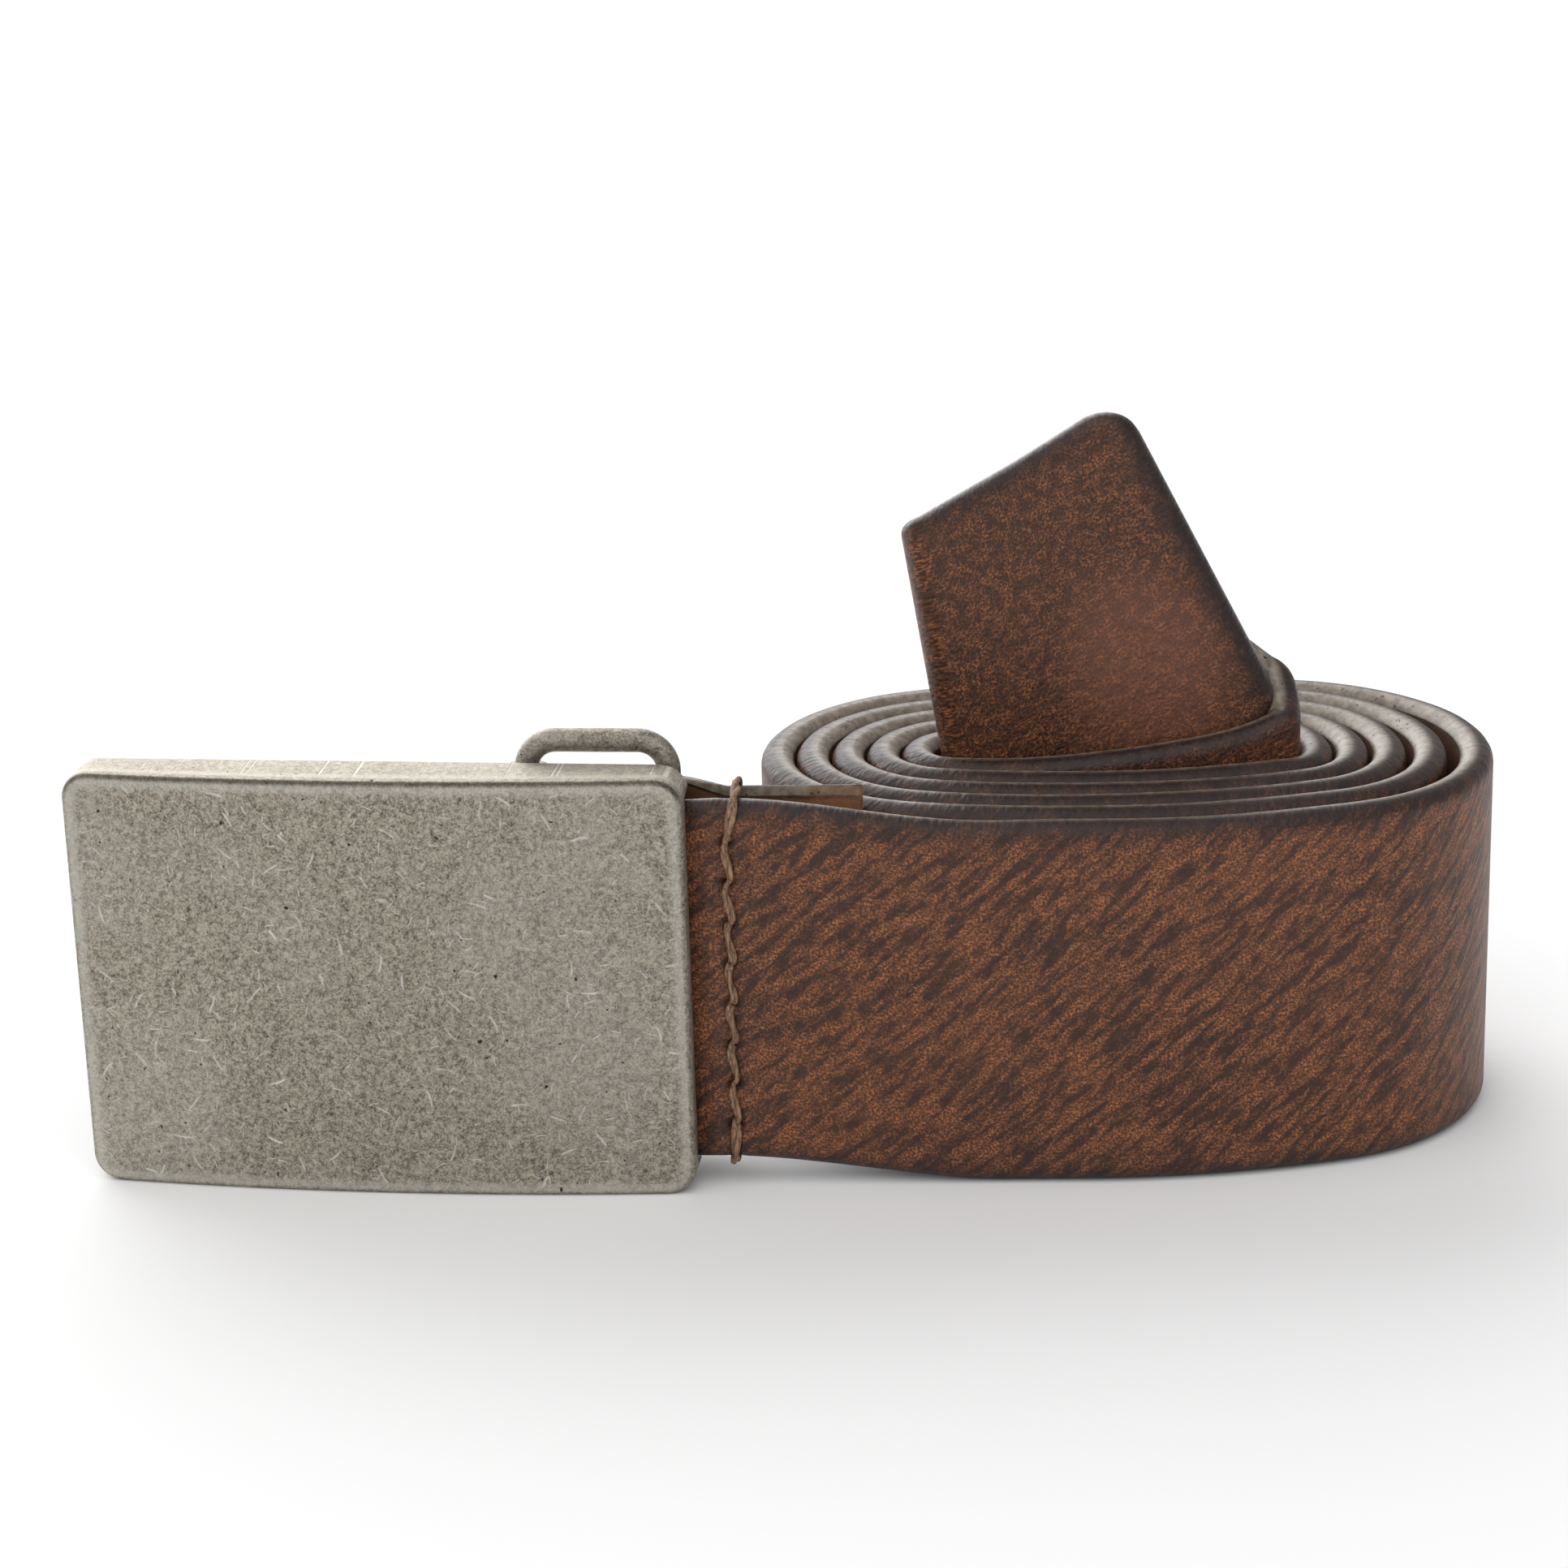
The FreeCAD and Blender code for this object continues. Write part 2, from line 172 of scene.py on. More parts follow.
def coil_points():
    """Four arcs a turn from the end of the run, radii shrinking evenly; and where the climb starts."""
    r = END_R + FLAT_EXTRA - STRAP_T / 2
    c = COIL + np.array([0, STRAP_T / 2 + r])
    a = -math.pi / 2 - math.asin((COIL[0] - RUN_LEAVE) / (END_R + FLAT_EXTRA))
    ends = (-BLEND, BLEND, math.pi - BLEND, math.pi + BLEND)
    points, angles = [], []
    for k in range(4 * TURNS + 4):
        b = ends[k % 4] + 2 * math.pi * (k // 4)
        base = END_R - STRAP_T / 2 - (k + 1) * PITCH / 4
        nxt = base + (FLAT_EXTRA if k % 2 else 0.0)
        if k == 4 * TURNS + 2:      # the back of the last turn stops at the left bend
            b = 2 * math.pi * TURNS + math.acos((LEFT_BEND_X - c[0]) / r)
            nxt = LEFT_BEND_R
        if k == 4 * TURNS + 3:
            b = 2 * math.pi * TURNS + 1.5 * math.pi
        arc = arc_points(c, r, a, b)
        points += arc[1:] if points else arc
        angles += list(np.linspace(a, b, len(arc)))[1 if len(angles) else 0:]
        if k == 4 * TURNS:
            climb_start = c + unit(-math.pi / 2) * r
        c = c + unit(b) * (r - nxt)
        r, a = nxt, b
    return loosened(points, angles), climb_start


def strap_stations():
    """Plan points from the raw tail end, round the fold, along the run and coil, to the tip."""
    depth = float((BAR - np.array([BAR[0], front_line(BAR[0])])) @ RUN_N)
    r_mid = FOLD_R + SKIVED_T / 2
    back_in = run_point(SEAM_X + SEAM_HALF, 1.5 * STRAP_T)
    back_out = BAR + RUN_N * r_mid
    tail = line_points(run_point(TAIL_END, 1.5 * STRAP_T + 0.12), back_in, 0.5)
    ease, ease_steps = [], 16
    for i in range(1, ease_steps):
        t = i / ease_steps
        x = back_in + (back_out - back_in) * t
        w = (3 * t * t - 2 * t ** 3) - t
        ease.append(x + RUN_N * w * float((back_out - back_in) @ RUN_N))
    fold = arc_points(BAR, r_mid, RUN_SLOPE + math.pi / 2, RUN_SLOPE + 1.5 * math.pi, 0.5)
    front_in = BAR - RUN_N * r_mid
    front_out = run_point(SEAM_X - SEAM_HALF, STRAP_T / 2)
    near = line_points(front_in, front_out, 0.5)[1:-1]
    fine_end = run_point(SEAM_X + FINE_HALF, STRAP_T / 2)
    run = line_points(front_out, fine_end, 0.25)[:-1]
    run += line_points(fine_end, run_point(RUN_LEAVE, STRAP_T / 2), 0.7)
    coil, climb_start = coil_points()
    tip = line_points(coil[-1], np.array([TIP_X - 6, coil[-1][1]]), 0.6)
    tip += line_points(tip[-1], np.array([TIP_X, coil[-1][1]]), 0.2)[1:]
    for p in tip:                       # the end bows a little to the front
        t = (p[0] - tip[0][0]) / (tip[-1][0] - tip[0][0])
        p[1] -= BOW * t * (1 - t)
    parts = (tail, ease, fold, near, run, coil[1:], tip[1:])
    names = ("tail", "ease", "fold", "near", "run", "coil", "tip")
    points, starts = [], {}
    for name, part in zip(names, parts):
        starts[name] = len(points)
        points += list(part)
    points = np.array(points)
    a, b = starts["tip"] - 6, starts["tip"] + 12
    for _ in range(12):                 # the end leaves the bend without a kink
        points[a:b] = (points[a - 1 : b - 1] + 2 * points[a:b] + points[a + 1 : b + 1]) / 4
    return points, starts, climb_start


POINTS, STARTS, CLIMB_START = strap_stations()
STEP = np.linalg.norm(np.diff(POINTS, axis=0), axis=1)
ALONG = np.concatenate([[0.0], np.cumsum(STEP)])
TANGENT = np.gradient(POINTS, axis=0)
TANGENT /= np.linalg.norm(TANGENT, axis=1)[:, None]

i0 = int(np.argmin(np.linalg.norm(POINTS - CLIMB_START, axis=1)))
CLIMBED = ALONG - ALONG[i0]            # distance past the start of the climb
BEND_END = CLIMBED[STARTS["tip"]]
BEND_START = BEND_END - LEFT_BEND_R * BEND_SWEEP
TIP_S = CLIMBED[-1]


def tilt_at(s, tangent_x):
    """Angle to the level; round the left bend the strap keeps its angle to the leaning axis."""
    if s >= BEND_END:
        return CLIMB
    if s >= BEND_START:
        a, b = math.cos(BEND_LEAN), -math.sin(BEND_LEAN) * tangent_x
        return math.asin(math.sin(CLIMB - BEND_LEAN) / math.hypot(a, b)) - math.atan2(b, a)
    rise = FIRST_CLIMB * smooth(s, *FIRST_RISE) + (CLIMB - FIRST_CLIMB) * smooth(s, *MAIN_RISE)
    return float(rise - 2 * BEND_LEAN * smooth(s, EASED_FROM, BEND_START))


TILT = np.array([tilt_at(s, t[0]) for s, t in zip(CLIMBED, TANGENT)])
RISE = np.concatenate([[0.0], np.cumsum(np.tan((TILT[1:] + TILT[:-1]) / 2) * STEP)])
LEAN = BEND_LEAN * smooth(CLIMBED, LEAN_FROM, BEND_START)
LEAN += (TIP_LEAN - BEND_LEAN) * smooth(CLIMBED, BEND_END + 1, TIP_S - 5)


def ramp_at(i):
    """Height of the strap's lower edge above the floor on the tail, fold and run."""
    if i < STARTS["run"]:
        return LIFT
    if i < STARTS["coil"]:
        return LIFT * float(1 - smooth(POINTS[i][0], SEAM_X - 2, RAMP_END + 4))
    return 0.0


def thickness_at(i):
    """Skived to a thin layer round the bar, full elsewhere."""
    seam_a, seam_b = ALONG[STARTS["ease"]], ALONG[STARTS["run"]]
    s = ALONG[i]
    fold_a, fold_b = ALONG[STARTS["fold"]], ALONG[STARTS["near"]]
    down = smooth(s, seam_a - 0.5, fold_a)
    up = smooth(s, fold_b, seam_b)
    return STRAP_T - (STRAP_T - SKIVED_T) * float(down * (1 - up))


STITCH_TOP = LIFT + STRAP_W / 2 + (STITCHES - 1) * STITCH_PITCH / 2


def ring(t, half_w):
    """Cross-section points (across, through, edge, flesh), grain face first.

    The edge value fades out towards the grain side.
    """
    pts = []
    rx = min(EDGE_R, t * 0.42)
    for i in range(FACE_N + 1):
        pts.append((-half_w + rx + (2 * half_w - 2 * rx) * i / FACE_N, t / 2, 0.0, 0.0))
    for i in range(1, EDGE_N + 1):
        a = math.pi * i / (EDGE_N + 1)
        edge = float(smooth(a, EDGE_FROM, EDGE_TO))
        pts.append((half_w - rx + rx * math.sin(a), t / 2 * math.cos(a), edge, 0.0))
    for i in range(BACK_N + 1):
        pts.append((half_w - rx - (2 * half_w - 2 * rx) * i / BACK_N, -t / 2, 0.0, 1.0))
    for i in range(1, EDGE_N + 1):
        a = math.pi * i / (EDGE_N + 1)
        edge = float(1 - smooth(a, EDGE_FROM, EDGE_TO))
        pts.append((-half_w + rx - rx * math.sin(a), -t / 2 * math.cos(a), edge, 0.0))
    return pts


def pulled_in(x, z):
    """How far the stitches draw the grain face in at plan x and height z, and the hole's shade."""
    groove, shade = GROOVE * math.exp(-((x - SEAM_X) / GROOVE_W) ** 2), 0.0
    k = round((STITCH_TOP - z) / STITCH_PITCH)
    if 0 <= k < STITCHES:
        up = z - STITCH_TOP + k * STITCH_PITCH
        shade = math.exp(-((x - SEAM_X) / HOLE_W) ** 2 - (up / HOLE_H) ** 2)
    return groove + HOLE * shade, shade


def strap_mesh():
    verts, uvs, zones = [], [], []
    rows = len(POINTS)
    for i in range(rows):
        s = CLIMBED[i]
        to_tip = max(0.0, TIP_S - s)
        t, half_w = thickness_at(i), STRAP_W / 2
        along = ALONG[i]
        wob = noise.noise(Vector((along * 0.045, 3.1, 0)))
        half_w += 0.10 * noise.noise(Vector((along * 0.06, 7.7, 0))) - 0.05
        t *= 1 + 0.03 * noise.noise(Vector((along * 0.07, 1.3, 5)))
        if to_tip < TIP_CORNER:
            half_w -= TIP_CORNER - math.sqrt(TIP_CORNER ** 2 - (TIP_CORNER - to_tip) ** 2)
        if to_tip < TIP_THIN:
            t *= max(0.12, math.sqrt(1 - ((TIP_THIN - to_tip) / TIP_THIN) ** 2))
        tangent = Vector((*(TANGENT[i] * math.cos(TILT[i])), math.sin(TILT[i])))
        rule = Vector((-math.sin(LEAN[i]), 0, math.cos(LEAN[i])))
        normal = tangent.cross(rule).normalized()
        stretch = 1 / normal.cross(tangent).dot(rule)
        z_mid = STRAP_W / 2 + ramp_at(i) + RISE[i] + 0.12 * wob * (1 if s < 0 else 0)
        middle = Vector((*POINTS[i], z_mid))
        seam = abs(POINTS[i][0] - SEAM_X) < FINE_HALF and i < STARTS["coil"]
        tail = float(1 - smooth(along, ALONG[STARTS["ease"]], ALONG[STARTS["fold"]]))
        ragged_end = float(1 - smooth(along, *RAGGED))
        for across, through, edge, flesh in ring(t, half_w):
            shade = 0.0
            if seam and flesh < 0.5:
                depth, shade = pulled_in(POINTS[i][0], z_mid + across)
                through -= depth * math.copysign(1, through)
            if i < STARTS["fold"] and through < 0:
                fibre = noise.noise(Vector((along * 1.1, across * 0.9, 2)))
                through += (PARED * tail + ragged_end * 0.45 * fibre) * -2 * through / t
            verts.append((middle + rule * (across * stretch) + normal * through) * MM)
            uvs.append((along * MM, across * MM))
            raw = max(ragged_end * (flesh + 0.4 * edge), 0.6 * flesh * tail, 1.0 if i == 0 else 0.0)
            zones.append((edge, flesh, min(raw, 1.0), 1.0 - min(1.0, 1.2 * shade)))
    count = len(verts) // rows
    faces = []
    for i in range(rows - 1):
        a, b = i * count, (i + 1) * count
        for j in range(count):
            k = (j + 1) % count
            faces.append((a + j, a + k, b + k, b + j))
    return verts, uvs, zones, faces, rows, count


def cap_strip(first, count, flip):
    """Faces that close an end by joining the grain side to the flesh side."""
    faces = []
    grain = list(range(FACE_N + 1))
    flesh = [FACE_N + EDGE_N + 1 + round(BACK_N * (1 - j / FACE_N)) for j in grain]
    for j in range(FACE_N):
        quad = [grain[j], grain[j + 1], flesh[j + 1], flesh[j]]
        quad = [first + q for q in dict.fromkeys(quad)]
        faces.append(tuple(reversed(quad)) if flip else tuple(quad))
    top = list(range(FACE_N, FACE_N + EDGE_N + 2))
    bottom = list(range(FACE_N + EDGE_N + BACK_N + 1, count)) + [0]
    for loop in (top, bottom):
        loop = [first + q for q in loop]
        faces.append(tuple(reversed(loop)) if flip else tuple(loop))
    return faces


def new_object(name, verts, faces, body, material):
    mesh = bpy.data.meshes.new(name)
    mesh.from_pydata(verts, [], faces)
    mesh.update()
    mesh.polygons.foreach_set("use_smooth", [True] * len(mesh.polygons))
    obj = bpy.data.objects.new(name, mesh)
    bpy.context.scene.collection.objects.link(obj)
    mesh.materials.append(material)
    if body:
        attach(obj, body)
    return obj


def build_strap(material):
    verts, uvs, zones, faces, rows, count = strap_mesh()
    faces += cap_strip(0, count, True) + cap_strip((rows - 1) * count, count, False)
    obj = new_object("strap_look", verts, faces, "belt", material)
    mesh = obj.data
    layer = mesh.uv_layers.new(name="leather")
    index = np.empty(len(mesh.loops), dtype=np.int32)
    mesh.loops.foreach_get("vertex_index", index)
    layer.data.foreach_set("uv", np.array(uvs, dtype=np.float32)[index].ravel())
    zone = mesh.color_attributes.new("zone", "FLOAT_COLOR", "POINT")
    zone.data.foreach_set("color", np.array(zones, dtype=np.float32).ravel())
    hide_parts("strap")


# ---- materials ----
class Nodes:
    """Short-hand for a procedural material."""

    def __init__(self, name):
        self.mat = bpy.data.materials.new(name)
        self.mat.use_nodes = True
        self.tree = self.mat.node_tree
        self.bsdf = self.tree.nodes["Principled BSDF"]

    def add(self, kind, props=None, **inputs):
        node = self.tree.nodes.new("ShaderNode" + kind)
        for key, value in (props or {}).items():
            setattr(node, key, value)
        for key, value in inputs.items():
            self.put(node, key, value)
        return node

    def put(self, node, key, value):
        slot = node.inputs[int(key[1:])] if key[0] == "i" and key[1:].isdigit() else node.inputs[key]
        if isinstance(value, bpy.types.NodeSocket):
            self.tree.links.new(value, slot)
        else:
            slot.default_value = value

    def math(self, op, a, b=0.0, c=0.0, clamp=False):
        node = self.add("Math", {"operation": op, "use_clamp": clamp}, i0=a, i1=b, i2=c)
        return node.outputs[0]

    def times(self, a, b):
        return self.math("MULTIPLY", a, b)

    def times_plus(self, a, b, c):
        return self.math("MULTIPLY_ADD", a, b, c)

    def minus(self, a, b):
        return self.math("SUBTRACT", a, b)

    def span(self, value, a, b, lo=0.0, hi=1.0):
        kind = {"interpolation_type": "SMOOTHSTEP"}
        return self.add("MapRange", kind, i0=value, i1=a, i2=b, i3=lo, i4=hi).outputs[0]

    def mix(self, factor, a, b):
        node = self.add("Mix", {"data_type": "RGBA", "blend_type": "MIX"}, i0=factor, i6=a, i7=b)
        return node.outputs[2]

    def noise(self, vector, scale, detail=3.0, rough=0.55, distortion=0.0):
        node = self.add(
            "TexNoise", Vector=vector, Scale=scale, Detail=detail, Roughness=rough, Distortion=distortion
        )
        return node.outputs[0]

    def cells(self, vector, scale):
        node = self.add("TexVoronoi", {"feature": "F1"}, Vector=vector, Scale=scale)
        return node.outputs["Distance"]

    def turned(self, vector, angle, scale, shift=(0, 0, 0)):
        """Coordinates along and across a direction, divided by the feature size."""
        node = self.add("Mapping", {"vector_type": "TEXTURE"}, Vector=vector)
        self.put(node, "Location", shift)
        self.put(node, "Rotation", (0, 0, angle))
        self.put(node, "Scale", scale)
        return node.outputs[0]

    def bump(self, height, distance, normal=None):
        node = self.add("Bump", Height=height, Distance=distance, Strength=1.0)
        if normal:
            self.put(node, "Normal", normal)
        return node.outputs[0]


def rgb(r, g, b):
    """Linear colour from the usual 0-255 screen values."""
    def linear(v):
        return ((v / 255 + 0.055) / 1.055) ** 2.4 if v > 10 else v / 255 / 12.92
    return linear(r), linear(g), linear(b), 1.0


def leather():
    n, length = Nodes("leather"), float(ALONG[-1])
    uv = n.add("UVMap", {"uv_map": "leather"}).outputs[0]
    mm = n.turned(uv, 0.0, (MM, MM, MM))
    split = n.add("SeparateXYZ", i0=mm)
    along, across = split.outputs[0], n.math("ABSOLUTE", split.outputs[1])
    solid = n.turned(n.add("TexCoord").outputs["Object"], 0.0, (MM, MM, MM))
    painted = n.add("VertexColor", {"layer_name": "zone"})
    zone = n.add("SeparateColor", i0=painted.outputs[0])
    edge, flesh, raw = zone.outputs[0], zone.outputs[1], zone.outputs[2]
    # the hide's wrinkles run slantwise on the outer part of the strap and fade towards the tip
    slant = n.turned(mm, math.radians(40), (5.2, 1.05, 1))
    wave = n.noise(slant, 1.0, 1.5, 0.5, 0.45)
    slant2 = n.turned(mm, math.radians(50), (3.0, 0.75, 1), (3, 5, 0))
    wave2 = n.noise(slant2, 1.0, 2.0, 0.5, 0.4)
    outer_part = n.span(along, 800.0, 890.0, 1.0, 0.0)
    ridges = n.times_plus(wave2, 0.40, n.times(wave, 0.60))
    streak = n.times(n.span(ridges, 0.42, 0.60), n.times_plus(outer_part, 0.85, 0.15))
    patchy = n.span(n.noise(mm, 0.8, 3.0, 0.6), 0.38, 0.62)
    speck = n.span(n.noise(mm, 3.6, 3.0, 0.75), 0.44, 0.60)
    fine = n.span(n.noise(mm, 5.5, 2.0, 0.6), 0.45, 0.60)
    cloud = n.span(n.noise(mm, 0.055, 3.0, 0.55), 0.36, 0.66)
    base = n.mix(cloud, rgb(54, 33, 26), rgb(73, 44, 32))
    share = n.times_plus(streak, 0.46, n.times_plus(patchy, 0.28, 0.10))
    share = n.times_plus(n.minus(1.0, outer_part), 0.16, share)
    tan_mask = n.math("MULTIPLY", speck, share, clamp=True)
    face = n.mix(tan_mask, base, rgb(200, 124, 74))
    face = n.mix(n.times(streak, 0.12), face, rgb(150, 92, 58))
    face = n.mix(n.times(fine, 0.38), face, rgb(42, 27, 24))
    groove = n.times(n.span(ridges, 0.49, 0.39), n.times(outer_part, 0.50))
    face = n.mix(groove, face, rgb(42, 27, 24))
    near_tip = n.minus(1.0, outer_part)
    blotch = n.times(n.minus(1.0, patchy), n.times_plus(near_tip, 0.30, 0.12))
    face = n.mix(blotch, face, rgb(38, 24, 21))
    # painted sheen: a lighter reddish oval near the tip stands in for a satin highlight
    aside = n.math("DIVIDE", n.math("ADD", split.outputs[1], 7.0), 15.0)
    ahead = n.math("DIVIDE", n.minus(along, length - 9.5), 9.0)
    painted_sheen = n.span(n.times_plus(aside, aside, n.times(ahead, ahead)), 1.0, 0.0)
    face = n.mix(n.times(painted_sheen, 0.32), face, rgb(150, 98, 78))
    # the dark dye along the edges and round the tip, its border uneven
    uneven = n.times(n.minus(n.noise(mm, 0.5, 3.0, 0.6), 0.5), 3.0)
    margin = n.span(n.math("ADD", across, uneven), 16.9, 20.2)
    end_margin = n.span(n.math("ADD", along, uneven), length - 3.4, length - 0.6)
    margin = n.math("MAXIMUM", margin, end_margin)
    face = n.mix(n.times(margin, 0.94), face, rgb(34, 23, 23))
    # flesh side, burnished rims with pits, raw fibres at the cut end
    suede = n.mix(n.noise(mm, 3.0, 3.0, 0.7), rgb(70, 40, 28), rgb(128, 82, 54))
    # the upper rims' light grey-beige is partly the burnished edge's own colour and partly painted
    # reflection of the bright surroundings; the lower rims get a near black painted shade
    rim = n.mix(n.span(n.noise(solid, 0.9, 4.0, 0.6), 0.3, 0.7), rgb(102, 90, 78), rgb(146, 133, 118))
    lit_upper_rim = n.span(split.outputs[1], -1.0, 1.0)
    rim = n.mix(lit_upper_rim, rgb(34, 27, 24), rim)
    pits = n.span(n.noise(solid, 1.3, 2.0, 0.6), 0.33, 0.27)
    rim = n.mix(pits, rim, rgb(18, 13, 12))
    crown = n.span(edge, 0.10, 0.95)
    colour = n.mix(flesh, n.mix(crown, face, rim), suede)
    strands = n.noise(n.turned(mm, 0.0, (0.3, 1, 1)), 2.0, 4.0, 0.7)
    fibres = n.mix(strands, rgb(128, 82, 54), rgb(206, 150, 108))
    colour = n.mix(raw, colour, fibres)
    colour = n.mix(painted.outputs[1], rgb(14, 10, 9), colour)
    n.put(n.bsdf, "Base Color", colour)
    waxed = n.times_plus(speck, 0.14, 0.38)
    waxed = n.times_plus(outer_part, 0.07, n.minus(waxed, 0.05))
    rough = n.times_plus(edge, -0.06, waxed)
    rough = n.math("MAXIMUM", rough, n.times(flesh, 0.92))
    n.put(n.bsdf, "Roughness", rough)
    n.put(n.bsdf, "Specular IOR Level", n.times_plus(edge, 0.3, 0.34))
    grain = n.cells(mm, 1.9)
    relief = n.times_plus(n.times(ridges, outer_part), 1.3, n.times(grain, -0.3))
    relief = n.times_plus(n.noise(mm, 2.6, 3.0, 0.6), 0.4, relief)
    relief = n.times(relief, n.minus(1.0, edge))
    normal = n.bump(relief, 0.00020)
    nap = n.times(n.math("MAXIMUM", flesh, raw), n.noise(mm, 5.0, 4.0, 0.8))
    normal = n.bump(nap, 0.0004, normal)
    normal = n.bump(n.times(edge, n.times(pits, -1.0)), 0.00015, normal)
    n.put(n.bsdf, "Normal", normal)
    return n.mat


# ---- metal: tumbled antique silver with short bright nicks ----
def nicks(n, plane, size, share, seed):
    """Short, slightly bent scratches at all angles, at most one in each cell."""
    grid = n.turned(plane, seed, (size, size, size))
    cell = n.add("TexVoronoi", {"feature": "F1"}, Vector=grid, Scale=1.0)
    local = n.add("VectorMath", {"operation": "SUBTRACT"}, i0=grid, i1=cell.outputs["Position"])
    chance = n.add("SeparateColor", i0=cell.outputs["Color"])
    angle = n.add("CombineXYZ", i2=n.times(chance.outputs[0], 6.28))
    spin = n.add("VectorRotate", {"rotation_type": "EULER_XYZ"}, Vector=local.outputs[0])
    n.put(spin, "Rotation", angle.outputs[0])
    axes = n.add("SeparateXYZ", i0=spin.outputs[0])
    bend = n.times(n.times(axes.outputs[0], axes.outputs[0]), 0.35)
    thin = n.span(n.math("ABSOLUTE", n.minus(axes.outputs[1], bend)), 0.060, 0.015)
    short = n.span(n.math("ABSOLUTE", axes.outputs[0]), 0.36, 0.20)
    kept = n.span(chance.outputs[1], 1 - share, 1 - share + 0.1)
    return n.times(n.times(thin, short), kept)


def metal(name, plate):
    """Grey and mottled; the plaque also has nicks, a rim rubbed brighter by wear, a dark line below its top,
    painted shade on its sides and rear, and a top painted lighter as a highlight.
    """
    n = Nodes(name)
    solid = n.turned(n.add("TexCoord").outputs["Object"], 0.0, (MM, MM, MM))
    mottle = n.noise(solid, 1.5, 6.0, 0.85)
    fine = n.noise(solid, 4.6, 3.0, 0.7)
    broad = n.noise(solid, 0.06, 3.0, 0.6)
    grain = n.times_plus(mottle, 0.6, n.times(fine, 0.4))
    dark, light = rgb(82, 75, 66), rgb(182, 173, 160)
    if plate:
        dark, light = rgb(80, 74, 64), rgb(194, 186, 170)
    tone = n.mix(n.span(grain, 0.36, 0.63), dark, light)
    tone = n.mix(n.times(n.span(broad, 0.40, 0.68), 0.22), tone, rgb(196, 193, 183))
    pit = n.span(n.noise(solid, 1.1, 2.0, 0.5), 0.29, 0.24)
    marks = 0.0
    if plate:
        plane = n.turned(n.add("UVMap", {"uv_map": "plane"}).outputs[0], 0.0, (MM, MM, MM))
        rim = n.add("SeparateColor", i0=n.add("VertexColor", {"layer_name": "rim"}).outputs[0])
        inward, crest_line_and_side_shade, top = n.times(rim.outputs[0], 5.0), rim.outputs[1], rim.outputs[2]
        marks = n.math("MAXIMUM", nicks(n, plane, 3.2, 0.34, 0.3), nicks(n, plane, 1.9, 0.38, 1.7))
        marks = n.math("MAXIMUM", marks, nicks(n, plane, 1.2, 0.34, 2.6))
        marks = n.times(marks, n.span(inward, 0.9, 1.6))
        bright = n.times(marks, n.noise(solid, 0.3, 2.0, 0.5))
        tone = n.mix(bright, tone, rgb(232, 230, 222))
        band = n.times(n.span(inward, 0.30, 0.65), n.span(inward, 1.9, 0.9))
        tone = n.mix(n.times(band, 0.38), tone, rgb(214, 211, 202))
        # painted highlight: the plaque's top face is lighter, as if lit from above
        tone = n.mix(n.times(top, 0.22), tone, rgb(205, 197, 180))
        # dark line below the top edge, and painted shade on the plaque's sides and rear
        tone = n.mix(n.times(crest_line_and_side_shade, 0.75), tone, rgb(60, 54, 46))
    tone = n.mix(pit, tone, rgb(56, 51, 46))
    n.put(n.bsdf, "Base Color", tone)
    n.put(n.bsdf, "Metallic", 0.8)
    n.put(n.bsdf, "Roughness", n.times_plus(mottle, 0.22, 0.40 if plate else 0.28))
    height = n.times_plus(marks, -0.5, n.times(grain, 1.3))
    n.put(n.bsdf, "Normal", n.bump(height, 0.00014))
    return n.mat


# ---- plaque ----
def plate_place(u, depth, z):
    """Plate axes: u from the hinge side to the far side, depth backwards, z up; in metres."""
    c, s = math.cos(PLATE_YAW), math.sin(PLATE_YAW)
    x = PLATE_AT[0] - u * c + depth * s
    y = PLATE_AT[1] + u * s + depth * c
    return (x * MM, y * MM, z * MM)


def panel_depth(u):
    """How far the front face lies behind its foremost point: the plaque is bent to a long arc."""
    r = (PLATE_W ** 2 / 4 + PLATE_SAG ** 2) / (2 * PLATE_SAG)
    return r - PLATE_SAG - math.sqrt(r * r - (u - PLATE_W / 2) ** 2)


def edge_stops(length, extra=()):
    """Grid lines, close together near both ends."""
    near = [0, 0.03, 0.12, 0.26, 0.45, 0.7, 1.0, 1.4, 1.9, 2.4, 3.0, *extra]
    middle = list(np.linspace(3.8, length - 3.8, int(length / 1.1)))
    return sorted(near + middle + [length - v for v in near])


def rounded(u, z):
    """Moves a grid point of the square-cornered plate into the round corners; and its depth inside."""
    r = PLATE_CORNER
    cu, cz = min(max(u, r), PLATE_W - r), min(max(z, r), PLATE_H - r)
    a, b = (u - cu) / r, (z - cz) / r
    if a and b:
        a2, b2 = a * math.sqrt(1 - b * b / 2), b * math.sqrt(1 - a * a / 2)
        return cu + a2 * r, cz + b2 * r, r - r * math.hypot(a2, b2)
    return u, z, min(u, PLATE_W - u, z, PLATE_H - z)


